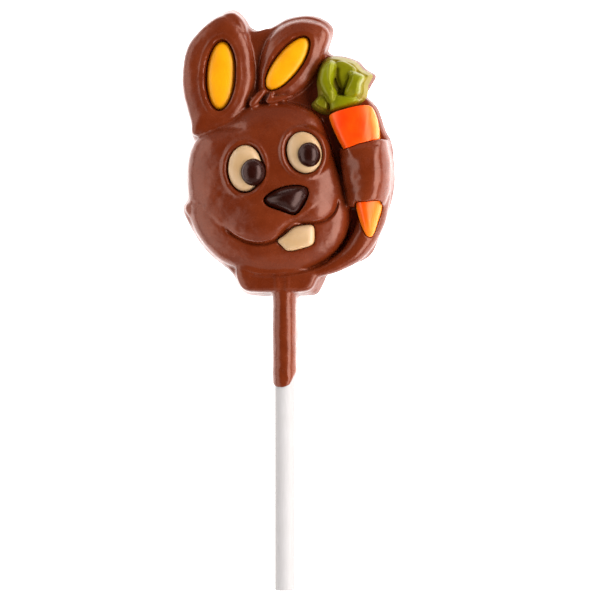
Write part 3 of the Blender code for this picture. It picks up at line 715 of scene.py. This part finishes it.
def rolled_stick(finish):
    """A stick of paper rolled up tight: one strip wound inwards, its loose edge along the left side."""
    turns = np.linspace(0, 2 * math.pi * STICK_TURNS, 48 * STICK_TURNS)
    fall = (STICK_RADIUS - STICK_CORE) / STICK_TURNS
    outer = [(STICK_RADIUS - fall * t / (2 * math.pi), STICK_SEAM + t) for t in turns]
    inner = [(r - fall + TURN_GAP, t) for r, t in outer]
    strip = outer + inner[::-1]
    section = [(r * math.cos(t), STICK_AXIS_Z + r * math.sin(t)) for r, t in strip]
    piece = start("rolled_paper_stick", [(0, 0)] * len(section), 0)
    bpy.ops.object.mode_set(mode="OBJECT")
    for vertex, (x, z) in zip(piece.data.vertices, section):
        vertex.co = spot(x, STICK_END_Y, z)
    bpy.ops.object.mode_set(mode="EDIT")
    length = STICK_TOP_Y - STICK_END_Y - 2 * STICK_EASE
    for rise, factor in ((STICK_EASE, 1.02), (length, 1.0), (STICK_EASE, 0.98)):
        bpy.ops.mesh.extrude_region_move(TRANSFORM_OT_translate={"value": (0, rise * MM, 0)})
        bpy.ops.transform.resize(value=(factor, 1, factor), center_override=spot(0, 0, STICK_AXIS_Z))
    close_up()
    smooth(piece, 50)
    return dress(piece, finish, "stick")


def carrot_leaves(finish):
    """The carrot's leaves: a base with drafted walls and five leaf forms, melted together."""
    forms = [prism("green_leaves", outline(LEAVES, 140), LEAF_FLOOR, LEAF_TOP - 4.4, 0.45)]
    for name, points, top, power in (
            ("leaf_left", LEAF_LEFT, LEAF_TOP, 3.2), ("leaf_low", LEAF_LOW, 6.9, 2.8),
            ("leaf_right", LEAF_RIGHT, LEAF_TOP, 3.0), ("leaf_back", LEAF_BACK, LEAF_TOP - 2.3, 4.0),
            ("leaf_front", LEAF_FRONT, LEAF_TOP - 1.2, 3.0)):
        anchor = (16, 20) if points is LEAF_FRONT else (15, 27)
        forms.append(dome(name, offset(outline(points, 90), -0.15), LEAF_FLOOR + 3.0, top, power,
                          floor=LEAF_FLOOR, lean=anchor, draft=0.45))
    leaves = melt(forms, 3, LEAF_VOXEL)
    skin, up = read_skin(leaves)
    for crease in LEAF_CREASES:
        press(skin, up, *crease)
    write_skin(leaves, skin)
    smooth(leaves)
    return dress(leaves, finish, "carrot_leaves")


def colour(code):
    """The linear colour of an sRGB hex code."""
    values = [int(code[i:i + 2], 16) / 255 for i in (1, 3, 5)]
    return [v / 12.92 if v <= 0.04045 else ((v + 0.055) / 1.055) ** 2.4 for v in values] + [1.0]


def node(tree, kind, inputs, **settings):
    """Adds a node with its settings; an input takes a value or the output of another node."""
    made = tree.nodes.new(kind)
    for key, value in settings.items():
        setattr(made, key, value)
    for key, value in inputs.items():
        if isinstance(value, bpy.types.NodeSocket):
            tree.links.new(value, made.inputs[key])
        else:
            made.inputs[key].default_value = value
    return made


def fresh(name):
    """A new finish: its node tree, its shader and the place on the piece in metres."""
    finish = bpy.data.materials.new(name)
    finish.use_nodes = True
    tree = finish.node_tree
    return finish, tree, tree.nodes["Principled BSDF"], node(tree, "ShaderNodeTexCoord", {}).outputs["Object"]


def moulded_chocolate(name, face, streak, low, painted_light_levels, gloss, tint, soft):
    """Tempered chocolate out of a polished mould.

    Cocoa butter gives a satin gloss, duller in smudges where it lifted off the mould late. The colour
    drifts where the melt flowed and is peppered with fine cocoa and milk powder. Between the two levels
    it changes towards a low colour at the low edges, which is painted light: a darker painted shade on
    most pieces, and a lighter painted sheen on the carrot's flanks and at the foot of the milk walls.
    """
    finish, tree, shader, place = fresh(name)
    flow = node(tree, "ShaderNodeTexNoise", {
        "Vector": place, "Scale": 1 / (FLOW * MM), "Detail": 4.0}).outputs["Fac"]
    smudge = node(tree, "ShaderNodeTexNoise", {
        "Vector": place, "Scale": 1 / (SMUDGE * MM), "Detail": 3.0, "Distortion": 0.6}).outputs["Fac"]
    powder = node(tree, "ShaderNodeTexNoise", {
        "Vector": place, "Scale": 1 / (POWDER * MM), "Detail": 2.0}).outputs["Fac"]
    height = node(tree, "ShaderNodeSeparateXYZ", {"Vector": place}).outputs["Z"]
    drift = node(tree, "ShaderNodeMapRange", {
        "Value": flow, "From Min": 0.38, "From Max": 0.66}).outputs["Result"]
    # The low colour that the height mixes in is painted light: painted shade where it is darker, a painted
    # sheen where it is lighter
    painted_light_rise = node(tree, "ShaderNodeMapRange", {
        "Value": height, "From Min": painted_light_levels[0] * MM, "From Max": painted_light_levels[1] * MM},
        interpolation_type="SMOOTHSTEP").outputs["Result"]
    dust = node(tree, "ShaderNodeMapRange", {
        "Value": powder, "From Min": 0.5, "From Max": 0.8, "To Max": 0.4}).outputs["Result"]
    body = node(tree, "ShaderNodeMix", {
        0: drift, 6: colour(face), 7: colour(streak)}, data_type="RGBA").outputs[2]
    with_painted_light = node(tree, "ShaderNodeMix", {0: painted_light_rise, 6: colour(low), 7: body}, data_type="RGBA").outputs[2]
    whole = node(tree, "ShaderNodeMix", {0: dust, 6: with_painted_light, 7: colour(streak)}, data_type="RGBA").outputs[2]
    shine = node(tree, "ShaderNodeMapRange", {
        "Value": smudge, "From Min": 0.3, "From Max": 0.7, "To Min": gloss - 0.03,
        "To Max": gloss + 0.06}).outputs["Result"]
    wavy = node(tree, "ShaderNodeBump", {
        "Height": smudge, "Strength": 1.0, "Distance": SMUDGE_RELIEF * MM}).outputs["Normal"]
    grainy = node(tree, "ShaderNodeBump", {
        "Height": powder, "Strength": 1.0, "Distance": POWDER_RELIEF * MM, "Normal": wavy}).outputs["Normal"]
    tree.links.new(whole, shader.inputs["Base Color"])
    tree.links.new(shine, shader.inputs["Roughness"])
    tree.links.new(grainy, shader.inputs["Normal"])
    shader.inputs["Specular Tint"].default_value = (*tint, 1)
    shader.inputs["Subsurface Weight"].default_value = soft
    shader.inputs["Subsurface Radius"].default_value = (1.0, 0.6, 0.3)
    shader.inputs["Subsurface Scale"].default_value = GLOW * MM
    return finish


def rolled_paper(name):
    """Bleached paper wound tight and calendered.

    Matt and even, with short fibres that lie along the stick, and greyer low on its sides: a painted
    shade where the round stick turns down towards the table.
    """
    finish, tree, shader, place = fresh(name)
    along = node(tree, "ShaderNodeMapping", {"Vector": place, "Scale": (1, 0.08, 1)}).outputs["Vector"]
    fibre = node(tree, "ShaderNodeTexNoise", {
        "Vector": along, "Scale": 1 / (FIBRE * MM), "Detail": 3.0}).outputs["Fac"]
    cloud = node(tree, "ShaderNodeTexNoise", {
        "Vector": place, "Scale": 1 / (FLOW * MM), "Detail": 2.0}).outputs["Fac"]
    fleck = node(tree, "ShaderNodeMix", {
        0: fibre, 6: colour("#b0abaa"), 7: colour("#c3bfbe")}, data_type="RGBA").outputs[2]
    shade = node(tree, "ShaderNodeMapRange", {
        "Value": cloud, "From Min": 0.3, "From Max": 0.7, "To Max": 0.3}).outputs["Result"]
    whole = node(tree, "ShaderNodeMix", {
        0: shade, 6: fleck, 7: colour("#afaaa8")}, data_type="RGBA").outputs[2]
    # Greyer below 4.2 to 6.2 mm up: a painted shade on the stick's lower sides
    height = node(tree, "ShaderNodeSeparateXYZ", {"Vector": place}).outputs["Z"]
    above_painted_shade = node(tree, "ShaderNodeMapRange", {
        "Value": height, "From Min": 4.2 * MM, "From Max": 6.2 * MM},
        interpolation_type="SMOOTHSTEP").outputs["Result"]
    with_painted_shade = node(tree, "ShaderNodeMix", {
        0: above_painted_shade, 6: colour("#9e9997"), 7: whole}, data_type="RGBA").outputs[2]
    felt = node(tree, "ShaderNodeBump", {
        "Height": fibre, "Strength": 1.0, "Distance": FIBRE_RELIEF * MM}).outputs["Normal"]
    tree.links.new(with_painted_shade, shader.inputs["Base Color"])
    tree.links.new(felt, shader.inputs["Normal"])
    shader.inputs["Roughness"].default_value = 0.72
    shader.inputs["Specular IOR Level"].default_value = 0.2
    return finish


def inlay(name, node_name, ring, base, top, floor, power, finish):
    """A coloured chocolate cushion in its pocket."""
    piece = dome(name, ring, base, top, power, rings=14, floor=floor + CLEAR_FLOOR)
    smooth(piece)
    return dress(piece, finish, node_name)


def orange_carrot(name, node_name, points, finish):
    """One part of the carrot: the whole long cone, cut to the outline that shows."""
    piece = dome(name, outline(WHOLE_CARROT, 200), PLATE_TOP + 1.4, CARROT_TOP, 2.3, rings=24,
                 floor=PLATE_TOP + CLEAR_FLOOR, middle=(20.8, 8))
    melt([keep_within(piece, points)], 2, CARROT_VOXEL)
    smooth(piece)
    return dress(piece, finish, node_name)


def studio():
    """Soft boxes low on four sides, bright at the left and right, a dark room and a lit table."""
    bpy.ops.object.select_all(action="DESELECT")
    bpy.ops.mesh.primitive_plane_add(size=TABLE_SIDE, location=(0, 0, -TABLE_GAP * MM))
    floor = bpy.context.object
    floor.name = "table"
    top = bpy.data.materials.new("white_acrylic_table")
    top.use_nodes = True
    shader = top.node_tree.nodes["Principled BSDF"]
    shader.inputs["Base Color"].default_value = (0.8, 0.8, 0.8, 1)
    shader.inputs["Roughness"].default_value = 0.6
    shader.inputs["Emission Color"].default_value = (1, 1, 1, 1)
    shader.inputs["Emission Strength"].default_value = TABLE_GLOW
    floor.data.materials.append(top)
    for side, (azimuth, lean, tall, wide, glow) in BOXES.items():
        light = bpy.data.lights.new(f"soft_box_{side}", "AREA")
        light.shape = "RECTANGLE"
        light.size = wide
        light.size_y = tall
        light.energy = glow * math.pi * wide * tall
        lamp = bpy.data.objects.new(f"soft_box_{side}", light)
        bpy.context.scene.collection.objects.link(lamp)
        turned = Matrix.Rotation(math.radians(azimuth), 4, "Z") @ Matrix.Rotation(math.radians(lean), 4, "Y")
        lamp.location = turned @ Vector((0, 0, BOX_AWAY)) + spot(*LIT_PLACE)
        lamp.rotation_euler = (turned @ Matrix.Rotation(math.pi / 2, 4, "Z")).to_euler()
        lamp.visible_camera = False
    world = bpy.data.worlds.new("dark_studio")
    bpy.context.scene.world = world
    world.use_nodes = True
    world.node_tree.nodes["Background"].inputs["Color"].default_value = (1, 1, 1, 1)
    world.node_tree.nodes["Background"].inputs["Strength"].default_value = ROOM_GLOW
    bpy.context.scene.view_settings.view_transform = "Standard"


def camera():
    """Looks down on the lollipop, a little from its right."""
    lens = bpy.data.cameras.new("camera")
    lens.sensor_width = FILM_WIDTH
    lens.lens = FILM_WIDTH * CAMERA_AWAY / (PICTURE_POINTS * POINT_SIZE)
    eye = bpy.data.objects.new("camera", lens)
    bpy.context.scene.collection.objects.link(eye)
    away = Vector((math.sin(CAMERA_TILT), 0, math.cos(CAMERA_TILT))) * (CAMERA_AWAY * MM)
    eye.location = spot(*LOOK_AT) + away
    eye.rotation_euler = (0, CAMERA_TILT, 0)
    bpy.context.scene.camera = eye


def main():
    """Makes every piece of the lollipop, then the studio round it."""
    milk, dark, cream, yellow, orange, green = (
        moulded_chocolate(name, *finish) for name, finish in CHOCOLATES.items())
    milk_chocolate_figure(milk)
    for side, fill in (("left", EAR_FILL_LEFT), ("right", EAR_FILL_RIGHT)):
        inlay(f"yellow_ear_{side}", f"ear_fill_{side}", ellipse(fill, 96), EAR_FLOOR + 0.5, EAR_TOP - 0.5,
              EAR_FLOOR, 2.6, yellow)
    for side, eye, pupil, top in (("left", EYE_LEFT, PUPIL_LEFT, EYE_LEFT_TOP),
                                  ("right", EYE_RIGHT, PUPIL_RIGHT, EYE_RIGHT_TOP)):
        inlay(f"cream_eye_{side}", f"eye_white_{side}", ellipse(eye, 96), EYE_EDGE - 0.5, top, EYE_FLOOR,
              2.8, cream)
        inlay(f"dark_pupil_{side}", f"pupil_{side}", ellipse(pupil, 96), top - 0.9, top + PUPIL_RISE,
              top - 1.8, 2.0, dark)
    inlay("dark_nose", "nose", offset(outline(NOSE, 90), -0.1), NOSE_TOP - 4.2, NOSE_TOP, NOSE_FLOOR, 1.8,
          dark)
    inlay("cream_tooth", "tooth", outline(TOOTH, 90), TOOTH_EDGE - 0.4, TOOTH_TOP, TOOTH_FLOOR, 2.8, cream)
    orange_carrot("orange_carrot", "carrot_top", CARROT_UPPER, orange)
    orange_carrot("orange_tip", "carrot_tip", CARROT_LOWER, orange)
    carrot_leaves(green)
    rolled_stick(rolled_paper("rolled_paper"))
    studio()
    camera()


main()
